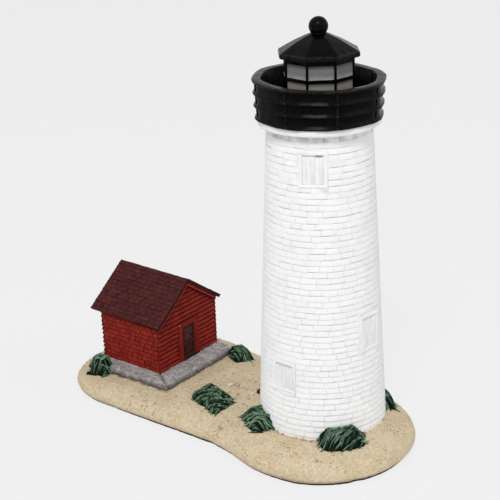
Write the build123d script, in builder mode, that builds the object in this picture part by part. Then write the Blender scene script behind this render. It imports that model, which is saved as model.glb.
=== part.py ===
"""Lighthouse figurine: a brick light tower and a keeper's shed on a sandy base.

Millimetres, +Z up. The origin is on the tower's axis, in the plane that the felt stands on.
+X points from the shed towards the tower. A compass bearing here turns from -Y towards +X.
"""

import math
import os

from build123d import *

# Overall size: the shaft's height and the shed's distance take what the other pieces leave of it
figurine_height = 165.0
base_length = 159.4

# Room around every piece that is glued into a seat
seat_gap = 0.12

# Base: a felt sheet under a domed slab of sand
felt_thickness = 1.0
felt_setback = 0.8
sand_rise = 9.0
shore_bulge = 2.2
shore_undercut = 0.9
dome_run = 16.0
dome_steps = 4
shore_west = 11.9
shore_front = 13.2
shore_back = 11.8
shore_front_radius = 30.0
shore_back_radius = 28.0
tower_shore_radius = 37.1
tower_shore_shift = 5.2
tower_shore_bearing = 24.0
waist_radius = 60.0
waist_taper = 16.0

# Tower shaft
foot_diameter = 49.6
neck_diameter = 38.9
tower_seat = 3.0

# Tower windows: bearing, height of the middle above the sand, height
window_places = {
    "tower_window_upper": (27.0, 104.6, 13.2),
    "tower_window_middle": (85.0, 40.2, 14.2),
    "tower_window_lower": (-3.5, 24.0, 12.0),
}
window_width = 10.6
window_seat = 1.6
window_jamb = 1.7
window_lintel = 1.6
window_recess = 0.7
window_bar = 0.6
window_lights_across = 4
window_lights_up = 2

# Tower door, on the side of the shed
door_bearing = -90.0
tower_door_width = 5.6
tower_door_height = 12.0
tower_door_trim = 1.3
tower_door_seat = 1.6
tower_door_inset = 0.8
step_width = 7.0
step_depth = 5.2
step_height = 1.0
step_seat = 1.2

# Cornice under the gallery
cornice_height = 4.8
cornice_band = 1.6
cornice_band_overhang = 0.2
cornice_lip = 1.4
cornice_setback = 0.4
cornice_roll = 1.2
cornice_peg_diameter = 14.0
cornice_peg = 4.0

# Gallery: lapped rails, each with a lip at its foot, under a rim
gallery_bearing = 26.9
gallery_sides = 8
gallery_across = 47.2
gallery_corner = 2.7
parapet_wall = 3.4
parapet_flare = 1.0
rail_count = 3
rail_height = 4.3
rail_lip = 0.7
rail_lip_height = 1.6
rail_nose = 0.4
rim_height = 0.9
post_width = 1.5
post_depth = 1.8
post_proud = 0.2
deck_thickness = 2.0

# Lantern room
lantern_bearing = 38.2
lantern_sides = 8
lantern_across = 24.6
lantern_height = 19.8
lantern_bar = 1.1
lantern_frame_depth = 0.9
lantern_sill = 7.2
pane_height = 5.0
pane_rows = 2

# Lantern roof and its ball
roof_across = 28.4
fascia_height = 1.9
roof_rise = 6.4
roof_crown_across = 5.8
roof_swell = 0.45
roof_boss = 0.8
ball_diameter = 6.96
ball_lift = 2.22
ball_neck_diameter = 5.5
ball_peg_diameter = 2.2
ball_peg = 3.5

# Shed plinth
shed_middle = 5.0
plinth_show = 1.0
plinth_thickness = 3.2
plinth_apron = 9.6
plinth_margin_west = 3.0
plinth_margin_south = 7.4
plinth_margin_north = 1.0
plinth_chamfer = 0.5
plinth_joint = 0.4

# Shed walls and roof
shed_length = 32.5
shed_width = 38.1
wall_height = 21.6
board_height = 2.02
board_lap = 0.35
roof_pitch = 35.6
roof_thickness = 1.1
shingle_row = 2.0
shingle_step = 0.35
eave_overhang = 1.1
gable_overhang_front = 1.7
gable_overhang_back = 4.4
bargeboard_depth = 1.3
bargeboard_thickness = 1.2
bargeboard_setback = 1.4

# Shed door
shed_door_width = 8.2
shed_door_height = 15.6
shed_door_trim = 2.2
shed_door_seat = 1.4
shed_door_proud = 0.35
shed_door_thickness = 0.9
door_stile = 1.2
door_panel_sink = 0.35

# Grass tufts: length, width, height above the sand, turn of the blades
tuft_seat = 1.5
shore_tuft_seat = 4.0
tuft_draft = 20.0
tuft_corner = 2.6
blade_pitch = 1.9
blade_depth = 1.3
tuft_sizes = {
    "tuft_shed_front": (11.5, 7.2, 4.0, 100.0),
    "tuft_shed_back": (12.5, 8.0, 3.6, -60.0),
    "tuft_path": (20.0, 12.0, 3.2, 70.0),
    "tuft_tower_shed": (17.0, 10.5, 5.0, 125.0),
    "tuft_tower_front": (19.0, 10.8, 5.4, 60.0),
    "tuft_tower_back": (11.0, 7.4, 4.2, 75.0),
}
tuft_lean = 2.8
tuft_tower_bearings = {
    "tuft_tower_shed": -33.0,
    "tuft_tower_front": 49.5,
    "tuft_tower_back": 137.0,
}
path_tuft_reach = 41.2
path_tuft_side = -17.8
path_tuft_bearing = 82.0
front_tuft_inset = 3.4
back_tuft_reach = 6.4
back_tuft_inset = 4.5
back_tuft_bearing = 58.0

# Heights and radii that follow from the sizes above
sand_top = felt_thickness + sand_rise
foot_radius = foot_diameter / 2
neck_radius = neck_diameter / 2
roof_crown = figurine_height - ball_lift - ball_diameter / 2
lantern_top = roof_crown - roof_rise - fascia_height
deck_top = lantern_top - lantern_height
gallery_base = deck_top - deck_thickness
tower_top = gallery_base - cornice_height
tower_rise = tower_top - sand_top
tower_taper = (foot_radius - neck_radius) / tower_rise
parapet_height = rail_count * rail_height + rim_height
parapet_bore_across = gallery_across - 2 * parapet_wall

plinth_top = sand_top + plinth_show
plinth_floor = plinth_top - plinth_thickness
tower_shore_reach = tower_shore_radius + tower_shore_shift * math.sin(math.radians(tower_shore_bearing))
yard_west = tower_shore_reach - base_length
plinth_west = yard_west + shore_west
gable_back = plinth_west + plinth_margin_west
gable_front = gable_back + shed_length
wall_top = plinth_top + wall_height
wall_south = shed_middle - shed_width / 2
wall_north = shed_middle + shed_width / 2
plinth_east = gable_front + plinth_apron
plinth_south = wall_south - plinth_margin_south
plinth_north = wall_north + plinth_margin_north
pitch_rise = math.tan(math.radians(roof_pitch))
ridge_under = wall_top + pitch_rise * shed_width / 2


def bearing_vector(bearing):
    """Level direction of a compass bearing."""
    angle = math.radians(bearing)
    return Vector(math.sin(angle), -math.cos(angle), 0)


def tower_radius(height):
    """Radius of the shaft at a height above the sand."""
    return foot_radius - tower_taper * height


def tower_wall_plane(bearing, height):
    """Plane that lies on the shaft's wall, with its normal square to the tapered wall."""
    outward = bearing_vector(bearing)
    origin = outward * tower_radius(height) + Vector(0, 0, sand_top + height)
    return Plane(origin, x_dir=bearing_vector(bearing + 90), z_dir=outward + Vector(0, 0, tower_taper))


def side_turn(bearing, sides):
    """Turn of a regular polygon that brings the middle of one side to a bearing."""
    return bearing - 90 - 180 / sides


def save(builder, name):
    """Label a finished piece and write it out."""
    builder.part.label = name
    export_step(builder.part, f"parts/{name}.step")


os.makedirs("parts", exist_ok=True)

# The shore: a rounded yard round the shed's plinth, drawn in at the waist, and a disc round the tower
yard_south = plinth_south - shore_front
yard_north = plinth_north + shore_back
tower_shore_centre = bearing_vector(tower_shore_bearing) * tower_shore_shift
with BuildSketch() as shore:
    with BuildLine():
        Polyline(
            (tower_shore_centre.X, yard_south),
            (tower_shore_centre.X, yard_north - waist_taper),
            (gable_front, yard_north),
            (yard_west, yard_north),
            (yard_west, yard_south),
            close=True,
        )
    make_face()
    fillet(shore.vertices().group_by(Axis.X)[0].sort_by(Axis.Y)[-1], shore_back_radius)
    fillet(shore.vertices().group_by(Axis.X)[0].sort_by(Axis.Y)[0], shore_front_radius)
    with Locations(tower_shore_centre):
        Circle(tower_shore_radius)
    fillet(shore.vertices().filter_by_position(Axis.X, gable_front / 2, 0), waist_radius)


def shore_face(height, inset):
    """Face of the shore's outline at a height, moved inwards."""
    with BuildSketch(Plane.XY.offset(height)) as outline:
        add(shore.sketch)
        offset(amount=-inset)
    return outline.sketch


# Felt sheet
with BuildPart() as felt_pad:
    extrude(shore_face(0, shore_undercut + felt_setback), amount=felt_thickness)
save(felt_pad, "felt_pad")


def tuft_depth(name):
    """Depth of a tuft's pocket, deeper where the tuft stands on the slope of the shore."""
    return shore_tuft_seat if name == "tuft_shed_front" else tuft_seat


def tuft_plane(name):
    """Level plane at the floor of a tuft's pocket, with X along the tuft."""
    length, width = tuft_sizes[name][:2]
    if name in tuft_tower_bearings:
        outward = bearing_vector(tuft_tower_bearings[name])
        spot = outward * (foot_radius + width / 2 - tuft_lean)
        along = bearing_vector(tuft_tower_bearings[name] + 90)
    elif name == "tuft_path":
        spot = Vector(-path_tuft_reach, path_tuft_side)
        along = bearing_vector(path_tuft_bearing)
    elif name == "tuft_shed_front":
        spot = Vector(plinth_west + front_tuft_inset + length / 2, plinth_south - width / 2 - seat_gap)
        along = Vector(1, 0, 0)
    else:
        spot = Vector(plinth_east + back_tuft_reach, plinth_north - back_tuft_inset)
        along = bearing_vector(back_tuft_bearing)
    return Plane(Vector(spot.X, spot.Y, sand_top - tuft_depth(name)), x_dir=along, z_dir=(0, 0, 1))


def tuft_outline(length, width):
    """Outline of a tuft with its corners taken off, drawn in the sketch that is open."""
    outline = Rectangle(length, width)
    chamfer(outline.vertices(), tuft_corner)


# Sand base with a seat for every casting that stands on it
with BuildPart() as sand_base:
    tiers = [(shore_undercut, 0.0)]
    for step in range(dome_steps + 1):
        turn = math.pi / 2 * step / dome_steps
        rise = shore_bulge + (sand_rise - shore_bulge) * math.sin(turn)
        tiers.append((dome_run * (1 - math.cos(turn)), rise))
    for (inset, foot), (next_inset, head) in zip(tiers, tiers[1:]):
        lean = math.degrees(math.atan2(next_inset - inset, head - foot))
        extrude(shore_face(felt_thickness + foot, inset), amount=head - foot, taper=lean)
    with BuildSketch(Plane.XY.offset(sand_top - tower_seat)):
        Circle(tower_radius(-tower_seat) + seat_gap)
    extrude(amount=sand_rise, mode=Mode.SUBTRACT)
    plinth_centre = ((plinth_west + plinth_east) / 2, (plinth_south + plinth_north) / 2)
    with BuildSketch(Plane.XY.offset(plinth_floor)):
        with Locations(plinth_centre):
            Rectangle(plinth_east - plinth_west + 2 * seat_gap, plinth_north - plinth_south + 2 * seat_gap)
    extrude(amount=sand_rise, mode=Mode.SUBTRACT)
    for tuft_name, (length, width, *_) in tuft_sizes.items():
        with BuildSketch(tuft_plane(tuft_name)):
            tuft_outline(length + 2 * seat_gap, width + 2 * seat_gap)
        extrude(amount=sand_rise, mode=Mode.SUBTRACT)
    step_plane = Plane((0, 0, sand_top - step_seat), x_dir=bearing_vector(door_bearing), z_dir=(0, 0, 1))
    with BuildSketch(step_plane):
        with Locations(((foot_radius + step_depth + seat_gap) / 2, 0)):
            Rectangle(foot_radius + step_depth + seat_gap, step_width + 2 * seat_gap)
    extrude(amount=sand_rise, mode=Mode.SUBTRACT)
save(sand_base, "sand_base")

# Tower shaft, with its foot in the sand, a socket on top and a pocket for each window and the door
with BuildPart() as tower_shaft:
    with BuildSketch(Plane.XZ):
        with BuildLine():
            Polyline(
                (0, sand_top - tower_seat),
                (tower_radius(-tower_seat), sand_top - tower_seat),
                (neck_radius, tower_top),
                (0, tower_top),
                close=True,
            )
        make_face()
    revolve(axis=Axis.Z)
    with Locations((0, 0, tower_top)):
        Hole(cornice_peg_diameter / 2 + seat_gap, depth=cornice_peg + seat_gap)
    for bearing, middle, height in window_places.values():
        with BuildSketch(tower_wall_plane(bearing, middle).offset(-window_seat)):
            Rectangle(window_width + 2 * seat_gap, height + 2 * seat_gap)
        extrude(amount=2 * window_seat, mode=Mode.SUBTRACT)
    tower_door_outer = (tower_door_width + 2 * tower_door_trim, tower_door_height + tower_door_trim)
    tower_door_plane = tower_wall_plane(door_bearing, step_height + seat_gap + tower_door_outer[1] / 2)
    with BuildSketch(tower_door_plane.offset(-tower_door_seat)):
        Rectangle(tower_door_outer[0] + 2 * seat_gap, tower_door_outer[1] + 2 * seat_gap)
    extrude(amount=2 * tower_door_seat, mode=Mode.SUBTRACT)
save(tower_shaft, "tower_shaft")

# Windows: a flat frame with a grid of sunk lights
for window_name, (bearing, middle, height) in window_places.items():
    light_pitch = (window_width - 2 * window_jamb + window_bar) / window_lights_across
    sash_pitch = (height - 2 * window_lintel + window_bar) / window_lights_up
    with BuildPart() as window:
        with BuildSketch(tower_wall_plane(bearing, middle).offset(-window_seat)):
            Rectangle(window_width, height)
        extrude(amount=window_seat)
        with BuildSketch(tower_wall_plane(bearing, middle)):
            with GridLocations(light_pitch, sash_pitch, window_lights_across, window_lights_up):
                Rectangle(light_pitch - window_bar, sash_pitch - window_bar)
        extrude(amount=-window_recess, mode=Mode.SUBTRACT)
    save(window, window_name)

# Tower door and its frame
with BuildPart() as tower_door_frame:
    with BuildSketch(tower_door_plane.offset(-tower_door_seat)):
        Rectangle(*tower_door_outer)
        with Locations((0, -tower_door_trim / 2)):
            Rectangle(tower_door_width, tower_door_height, mode=Mode.SUBTRACT)
    extrude(amount=tower_door_seat)
save(tower_door_frame, "tower_door_frame")

with BuildPart() as tower_door:
    with BuildSketch(tower_door_plane.offset(-tower_door_seat)):
        with Locations((0, -tower_door_trim / 2)):
            Rectangle(tower_door_width - 2 * seat_gap, tower_door_height - 2 * seat_gap)
    extrude(amount=tower_door_seat - tower_door_inset)
save(tower_door, "tower_door")

with BuildPart() as tower_step:
    with BuildSketch(step_plane):
        with Locations(((foot_radius + step_depth) / 2, 0)):
            Rectangle(foot_radius + step_depth, step_width)
        Circle(tower_radius(-step_seat) + seat_gap, mode=Mode.SUBTRACT)
    extrude(amount=step_seat + step_height)
save(tower_step, "tower_step")

# Cornice: a short band, then a roll that swells out to the gallery
with BuildPart() as tower_cornice:
    band_radius = neck_radius + cornice_band_overhang
    lip_radius = gallery_across / 2 - parapet_flare - cornice_setback
    with BuildSketch(Plane.XZ):
        with BuildLine():
            Polyline(
                (lip_radius, gallery_base - cornice_lip),
                (lip_radius, gallery_base),
                (0, gallery_base),
                (0, tower_top - cornice_peg),
                (cornice_peg_diameter / 2, tower_top - cornice_peg),
                (cornice_peg_diameter / 2, tower_top),
                (band_radius, tower_top),
                (band_radius, tower_top + cornice_band),
                (lip_radius - cornice_roll, tower_top + cornice_band),
                close=True,
            )
        make_face()
    revolve(axis=Axis.Z)
save(tower_cornice, "tower_cornice")


def parapet_lean(height):
    """How far the parapet's face leans in from its rim, at a height above its foot."""
    return parapet_flare * (height - parapet_height) / parapet_height


# Gallery parapet: one wall section with lapped rails, swept round a ring with posts on its corners
gallery_turn = side_turn(gallery_bearing, gallery_sides)
gallery_corner_reach = gallery_across / 2 / math.cos(math.pi / gallery_sides)
gallery_facing = bearing_vector(gallery_bearing)
with BuildPart() as gallery_parapet:
    with BuildSketch(Plane.XY.offset(gallery_base), mode=Mode.PRIVATE) as gallery_ring:
        RegularPolygon(gallery_across / 2, gallery_sides, major_radius=False, rotation=gallery_turn)
        chamfer(gallery_ring.vertices(), gallery_corner)
    ring_path = gallery_ring.face().outer_wire()
    section_plane = Plane(
        gallery_facing * gallery_across / 2 + Vector(0, 0, gallery_base),
        x_dir=gallery_facing,
        z_dir=bearing_vector(gallery_bearing - 90),
    )
    with BuildSketch(section_plane) as wall_section:
        with BuildLine():
            rail_points = []
            for rail in range(rail_count):
                rail_foot = rail * rail_height
                rail_head = rail_foot + rail_height
                lip_head = rail_foot + rail_lip_height
                rail_points += [
                    (parapet_lean(rail_foot), rail_foot),
                    (parapet_lean(rail_foot), rail_foot + rail_nose),
                    (parapet_lean(lip_head) - rail_lip, lip_head),
                    (parapet_lean(rail_head) - rail_lip, rail_head),
                ]
            Polyline(
                *rail_points,
                (0, parapet_height - rim_height),
                (0, parapet_height),
                (-parapet_wall, parapet_height),
                (-parapet_wall, 0),
                close=True,
            )
        make_face()
    sweep(path=ring_path, transition=Transition.RIGHT)
    corner_trim = gallery_corner * math.sin(math.pi / gallery_sides)
    post_reach = gallery_corner_reach - corner_trim - parapet_flare + post_proud - post_depth / 2
    for corner in range(gallery_sides):
        outward = bearing_vector(gallery_bearing + 360 / gallery_sides * (corner + 0.5))
        post_foot = outward * post_reach + Vector(0, 0, gallery_base)
        with BuildSketch(Plane(post_foot, x_dir=outward, z_dir=(0, 0, 1))):
            Rectangle(post_depth, post_width)
        extrude(
            amount=math.hypot(parapet_height, parapet_flare),
            dir=outward * parapet_flare + Vector(0, 0, parapet_height),
        )
save(gallery_parapet, "gallery_parapet")

with BuildPart() as gallery_deck:
    with BuildSketch(Plane.XY.offset(gallery_base)):
        Circle(parapet_bore_across / 2 - seat_gap)
    extrude(amount=deck_thickness)
save(gallery_deck, "gallery_deck")

# Lantern: a cage of glazing bars round an eight-sided block of panes
lantern_turn = side_turn(lantern_bearing, lantern_sides)
lantern_apothem = lantern_across / 2
lantern_bore = lantern_apothem - lantern_frame_depth
lantern_side = 2 * lantern_apothem * math.tan(math.pi / lantern_sides)
with BuildPart() as lantern_frame:
    with BuildSketch(Plane.XY.offset(deck_top)):
        RegularPolygon(lantern_apothem, lantern_sides, major_radius=False, rotation=lantern_turn)
        RegularPolygon(
            lantern_bore, lantern_sides, major_radius=False, rotation=lantern_turn, mode=Mode.SUBTRACT
        )
    extrude(amount=lantern_height)
    for side in range(lantern_sides):
        side_bearing = lantern_bearing + 360 / lantern_sides * side
        side_plane = Plane(
            bearing_vector(side_bearing) * lantern_apothem + Vector(0, 0, deck_top + lantern_sill),
            x_dir=bearing_vector(side_bearing + 90),
            z_dir=bearing_vector(side_bearing),
        )
        with BuildSketch(side_plane):
            for row in range(pane_rows):
                with Locations((0, pane_height / 2 + row * (pane_height + lantern_bar))):
                    Rectangle(lantern_side - lantern_bar, pane_height)
        extrude(amount=-2 * lantern_frame_depth, mode=Mode.SUBTRACT)
save(lantern_frame, "lantern_frame")

with BuildPart() as lantern_glazing:
    with BuildSketch(Plane.XY.offset(deck_top)):
        RegularPolygon(lantern_bore - seat_gap, lantern_sides, major_radius=False, rotation=lantern_turn)
    extrude(amount=lantern_height - roof_boss)
save(lantern_glazing, "lantern_glazing")

# Lantern roof: a flat fascia, swelling hips and a boss that drops into the cage
with BuildPart() as lantern_roof:
    with BuildSketch(Plane.XY.offset(lantern_top - roof_boss)):
        RegularPolygon(lantern_bore - seat_gap, lantern_sides, major_radius=False, rotation=lantern_turn)
    extrude(amount=roof_boss)
    roof_sections = [
        (lantern_top, roof_across / 2),
        (lantern_top + fascia_height, roof_across / 2),
        (roof_crown - roof_rise / 2 + roof_swell, (roof_across + roof_crown_across) / 4),
        (roof_crown, roof_crown_across / 2),
    ]
    for (foot, apothem), (head, next_apothem) in zip(roof_sections, roof_sections[1:]):
        with BuildSketch(Plane.XY.offset(foot)):
            RegularPolygon(apothem, lantern_sides, major_radius=False, rotation=lantern_turn)
        extrude(amount=head - foot, taper=math.degrees(math.atan2(apothem - next_apothem, head - foot)))
    with Locations((0, 0, roof_crown)):
        Hole(ball_peg_diameter / 2 + seat_gap, depth=ball_peg + seat_gap)
save(lantern_roof, "lantern_roof")

with BuildPart() as roof_ball:
    with Locations((0, 0, roof_crown + ball_lift)):
        Sphere(ball_diameter / 2)
    split(bisect_by=Plane.XY.offset(roof_crown), keep=Keep.TOP)
    with Locations((0, 0, roof_crown)):
        Cylinder(ball_neck_diameter / 2, ball_lift, align=(Align.CENTER, Align.CENTER, Align.MIN))
        Cylinder(ball_peg_diameter / 2, ball_peg, align=(Align.CENTER, Align.CENTER, Align.MAX))
save(roof_ball, "roof_ball")

# Shed plinth: four kerb sides that meet in mitred joints
with BuildPart() as shed_plinth:
    with BuildSketch(Plane.XY.offset(plinth_floor)):
        with Locations(plinth_centre):
            Rectangle(plinth_east - plinth_west, plinth_north - plinth_south)
    extrude(amount=plinth_thickness)
    chamfer(shed_plinth.faces().sort_by(Axis.Z)[-1].edges(), plinth_chamfer)
    mitres = [
        ((gable_front, wall_south), (plinth_east, plinth_south)),
        ((gable_front, wall_north), (plinth_east, plinth_north)),
        ((gable_back, wall_south), (plinth_west, plinth_south)),
        ((gable_back, wall_north), (plinth_west, plinth_north)),
    ]
    with BuildSketch(Plane.XY.offset(plinth_top)):
        for wall_corner, plinth_corner in mitres:
            with BuildLine(mode=Mode.PRIVATE) as mitre:
                Line(wall_corner, plinth_corner)
            trace(mitre.line, plinth_joint)
    extrude(amount=-plinth_joint, mode=Mode.SUBTRACT)
save(shed_plinth, "shed_plinth")

# Shed walls: lapped boards all round, cut to the house's gabled outline, with a pocket for the door
wall_centre = ((gable_front + gable_back) / 2, shed_middle)
board_rows = math.ceil((ridge_under - plinth_top) / board_height)
board_lean = math.degrees(math.atan2(board_lap, board_height))
shed_door_plane = Plane.YZ.offset(gable_front - shed_door_seat)
shed_door_outer = (shed_door_width + 2 * shed_door_trim, shed_door_height + shed_door_trim)
with BuildPart() as shed_walls:
    for row in range(board_rows):
        with BuildSketch(Plane.XY.offset(plinth_top + row * board_height)):
            with Locations(wall_centre):
                Rectangle(shed_length, shed_width)
        extrude(amount=board_height, taper=board_lean)
    with BuildSketch(Plane.YZ.offset(gable_back)):
        with BuildLine():
            Polyline(
                (wall_south, plinth_top),
                (wall_north, plinth_top),
                (wall_north, wall_top),
                (shed_middle, ridge_under),
                (wall_south, wall_top),
                close=True,
            )
        make_face()
    extrude(amount=shed_length, mode=Mode.INTERSECT)
    with BuildSketch(shed_door_plane):
        with Locations((shed_middle, plinth_top)):
            Rectangle(
                shed_door_outer[0] + 2 * seat_gap,
                shed_door_outer[1] + seat_gap,
                align=(Align.CENTER, Align.MIN),
            )
    extrude(amount=shed_door_seat, mode=Mode.SUBTRACT)
save(shed_walls, "shed_walls")

with BuildPart() as shed_door_frame:
    with BuildSketch(shed_door_plane):
        with Locations((shed_middle, plinth_top)):
            Rectangle(*shed_door_outer, align=(Align.CENTER, Align.MIN))
            Rectangle(
                shed_door_width, shed_door_height, align=(Align.CENTER, Align.MIN), mode=Mode.SUBTRACT
            )
    extrude(amount=shed_door_seat + shed_door_proud)
save(shed_door_frame, "shed_door_frame")

# Door with a sunk light above a sunk panel
with BuildPart() as shed_door:
    with BuildSketch(shed_door_plane):
        with Locations((shed_middle, plinth_top)):
            Rectangle(
                shed_door_width - 2 * seat_gap,
                shed_door_height - seat_gap,
                align=(Align.CENTER, Align.MIN),
            )
    extrude(amount=shed_door_thickness)
    panel_pitch = (shed_door_height - door_stile) / 2
    with BuildSketch(shed_door_plane.offset(shed_door_thickness)):
        with Locations((shed_middle, plinth_top + shed_door_height / 2)):
            with GridLocations(0, panel_pitch, 1, 2):
                Rectangle(shed_door_width - 2 * door_stile, panel_pitch - door_stile)
    extrude(amount=-door_panel_sink, mode=Mode.SUBTRACT)
save(shed_door, "shed_door")

# Shed roof: one slope of stepped shingle rows, mirrored over the ridge
slope = math.radians(roof_pitch)
eave_south = wall_south - eave_overhang
eave_under = wall_top - pitch_rise * eave_overhang
ridge_plane = Plane.XZ.offset(-shed_middle)
roof_run = gable_overhang_back + shed_length + gable_overhang_front
slope_length = (shed_width / 2 + eave_overhang) / math.cos(slope) + roof_thickness * math.tan(slope)
shingle_rows = math.ceil(slope_length / shingle_row)


def slope_plane(x):
    """Plane across the south slope, with X up the slope and Y out of the roof."""
    up_slope = (0, math.cos(slope), math.sin(slope))
    return Plane((x, eave_south, eave_under), x_dir=up_slope, z_dir=(1, 0, 0))


with BuildPart() as shed_roof:
    with BuildSketch(slope_plane(gable_back - gable_overhang_back)):
        Rectangle(shingle_rows * shingle_row, roof_thickness, align=Align.MIN)
        for row in range(shingle_rows):
            with Locations((row * shingle_row, roof_thickness)):
                Polygon((0, 0), (shingle_row, 0), (0, shingle_step), align=None)
    extrude(amount=roof_run)
    split(bisect_by=ridge_plane, keep=Keep.TOP)
    mirror(about=ridge_plane)
save(shed_roof, "shed_roof")

# Bargeboards, flat on each gable and close under the roof
bargeboard_feet = {
    "shed_bargeboard_front": gable_front,
    "shed_bargeboard_back": gable_back - bargeboard_thickness,
}
for board_name, board_x in bargeboard_feet.items():
    with BuildPart() as bargeboard:
        with BuildSketch(slope_plane(board_x)):
            with Locations((bargeboard_setback, 0)):
                Rectangle(slope_length, bargeboard_depth, align=(Align.MIN, Align.MAX))
        extrude(amount=bargeboard_thickness)
        split(bisect_by=ridge_plane, keep=Keep.TOP)
        mirror(about=ridge_plane)
    save(bargeboard, board_name)

# Grass tufts: drafted mounds combed into blades, cut back where they lean on the tower
for tuft_name, (length, width, height, blade_turn) in tuft_sizes.items():
    tuft_floor = tuft_plane(tuft_name)
    tuft_foot = tuft_floor.offset(tuft_depth(tuft_name))
    tuft_crest = tuft_foot.offset(height)
    blade_direction = tuft_floor.x_dir.rotate(Axis.Z, blade_turn)
    blade_across = Vector(0, 0, 1).cross(blade_direction)
    blade_count = math.ceil((length + width) / blade_pitch)
    with BuildPart() as tuft:
        with BuildSketch(tuft_floor):
            tuft_outline(length, width)
        extrude(amount=tuft_depth(tuft_name))
        with BuildSketch(tuft_foot):
            tuft_outline(length, width)
        extrude(amount=height, taper=tuft_draft)
        with BuildSketch(Plane(tuft_crest.origin, x_dir=blade_across, z_dir=blade_direction)):
            with GridLocations(blade_pitch, 0, blade_count, 1):
                Polygon((-blade_pitch / 2, 0), (0, -blade_depth), (blade_pitch / 2, 0), align=None)
        extrude(amount=length, both=True, mode=Mode.SUBTRACT)
        if tuft_name in tuft_tower_bearings:
            with Locations((0, 0, sand_top - tower_seat)):
                Cone(
                    tower_radius(-tower_seat) + seat_gap,
                    neck_radius + seat_gap,
                    tower_seat + tower_rise,
                    align=(Align.CENTER, Align.CENTER, Align.MIN),
                    mode=Mode.SUBTRACT,
                )
    save(tuft, tuft_name)
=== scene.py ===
"""Looks of a lighthouse figurine: cast resin pieces, painted by hand, on a felted sandy base.

Shapes are worked out in millimetres and scaled to metres once, in piece(). A bearing turns from -Y
towards +X, seen from above. Every point carries one paint value, which the materials read.
"""

import math

import bmesh
import bpy
import numpy as np
from mathutils import Euler, Matrix, Vector, noise
from mathutils.kdtree import KDTree


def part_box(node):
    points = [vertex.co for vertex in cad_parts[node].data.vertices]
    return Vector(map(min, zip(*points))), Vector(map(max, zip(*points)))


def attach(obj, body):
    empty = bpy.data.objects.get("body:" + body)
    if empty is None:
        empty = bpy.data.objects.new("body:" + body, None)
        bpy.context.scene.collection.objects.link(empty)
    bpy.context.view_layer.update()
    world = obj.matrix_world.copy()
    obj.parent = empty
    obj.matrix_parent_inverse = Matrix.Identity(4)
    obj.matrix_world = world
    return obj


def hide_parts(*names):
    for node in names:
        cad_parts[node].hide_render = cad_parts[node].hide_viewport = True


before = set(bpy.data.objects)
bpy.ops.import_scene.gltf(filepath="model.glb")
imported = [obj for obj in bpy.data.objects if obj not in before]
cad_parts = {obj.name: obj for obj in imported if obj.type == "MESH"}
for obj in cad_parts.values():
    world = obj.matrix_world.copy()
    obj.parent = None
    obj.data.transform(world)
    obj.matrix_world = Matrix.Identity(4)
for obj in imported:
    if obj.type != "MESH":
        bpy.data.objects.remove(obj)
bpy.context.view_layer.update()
MM = 0.001
UP = np.array([0.0, 0.0, 1.0])


def box(node):
    """Lowest and highest corner of a CAD node, in millimetres."""
    low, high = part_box(node)
    return np.array(low) / MM, np.array(high) / MM


def heading(degrees):
    """Level unit vector along a bearing."""
    turn = math.radians(degrees)
    return np.array([math.sin(turn), -math.cos(turn), 0.0])


# Sizes taken from the frame
sand_low, sand_high = box("sand_base")
sand_top = sand_high[2]
base_middle = (sand_low + sand_high) / 2
tower_top = box("tower_shaft")[1][2]
gallery_low, gallery_high = box("gallery_parapet")
deck_top = box("gallery_deck")[1][2]
lantern_top = box("lantern_frame")[1][2]
crown_top = box("lantern_roof")[1][2]
ball_high = box("roof_ball")[1]
walls_low, walls_high = box("shed_walls")
plinth_low, plinth_high = box("shed_plinth")
eave_low, eave_high = box("shed_roof")

# Sizes of the base
shore_height = 3.2
shore_undercut = 1.5
dome_run = 16.0
shore_points = 900
sand_rings = 110
yard_dip = 1.3
yard_dip_reach = 7.0
end_drop = 1.2
west_drop = 2.2
west_run = 5.0
# Where the shore is worn more or less than elsewhere: x, y, extra wear, reach
shore_bites = (
    (-8.0, -39.5, 0.9, 6.0),
    (1.7, -39.1, 0.6, 7.0),
    (-21.0, -34.5, -1.0, 6.0),
    (24.0, -33.0, -0.6, 8.0),
    (35.0, -12.0, -0.9, 9.0),
    (35.0, 12.0, -0.7, 10.0),
)

# Sizes of the tower
foot_radius = 24.8
neck_radius = 19.45
tower_bury = 1.5
course_height = 2.27
bed_gap = 0.14
brick_length = 5.2
head_joint = 0.12
core_depth = 0.45
strip_depth = 0.24
joint_fade = 0.75
window_width = 10.6
# Bearing, middle above the sand, height
window_places = {
    "tower_window_upper": (27.0, 104.6, 13.2),
    "tower_window_middle": (85.0, 40.2, 14.2),
    "tower_window_lower": (-3.5, 24.0, 12.0),
}
door_bearing = -90.0

# Sizes of the gallery and lantern; facet is the turn from one of their eight sides to the next
facet = 45.0
gallery_facing = 26.9
gallery_apothem = 23.6
gallery_round = 24.1
gallery_corner = 24.45
facet_share = 0.6
parapet_bore = 20.2
parapet_flare = 0.8
rail_count = 3
rail_height = 4.3
rail_lip = 0.85
lip_middle = 0.7
rim_rise = 0.47
rim_tilt = 0.63
rim_tilt_bearing = -105.0
# Bearing at which the parapet's painted reflection is weakest
rim_sheen_bearing = 34.0
lantern_facing = 38.2
lantern_apothem = 12.3
lantern_bar = 0.8
pane_rows = [(138.4, 143.4), (144.5, 149.5)]
roof_apothem = 14.2

# Sizes of the shed
shed_middle = 5.0
roof_pitch = math.radians(35.6)
board_height = 2.02
board_gap = 0.68
wall_brick = 3.1
shingle_row = 2.0
shingle_width = 3.2
roof_thickness = 1.1
roof_lift_west = 0.8
roof_lift_north = 0.8


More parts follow.
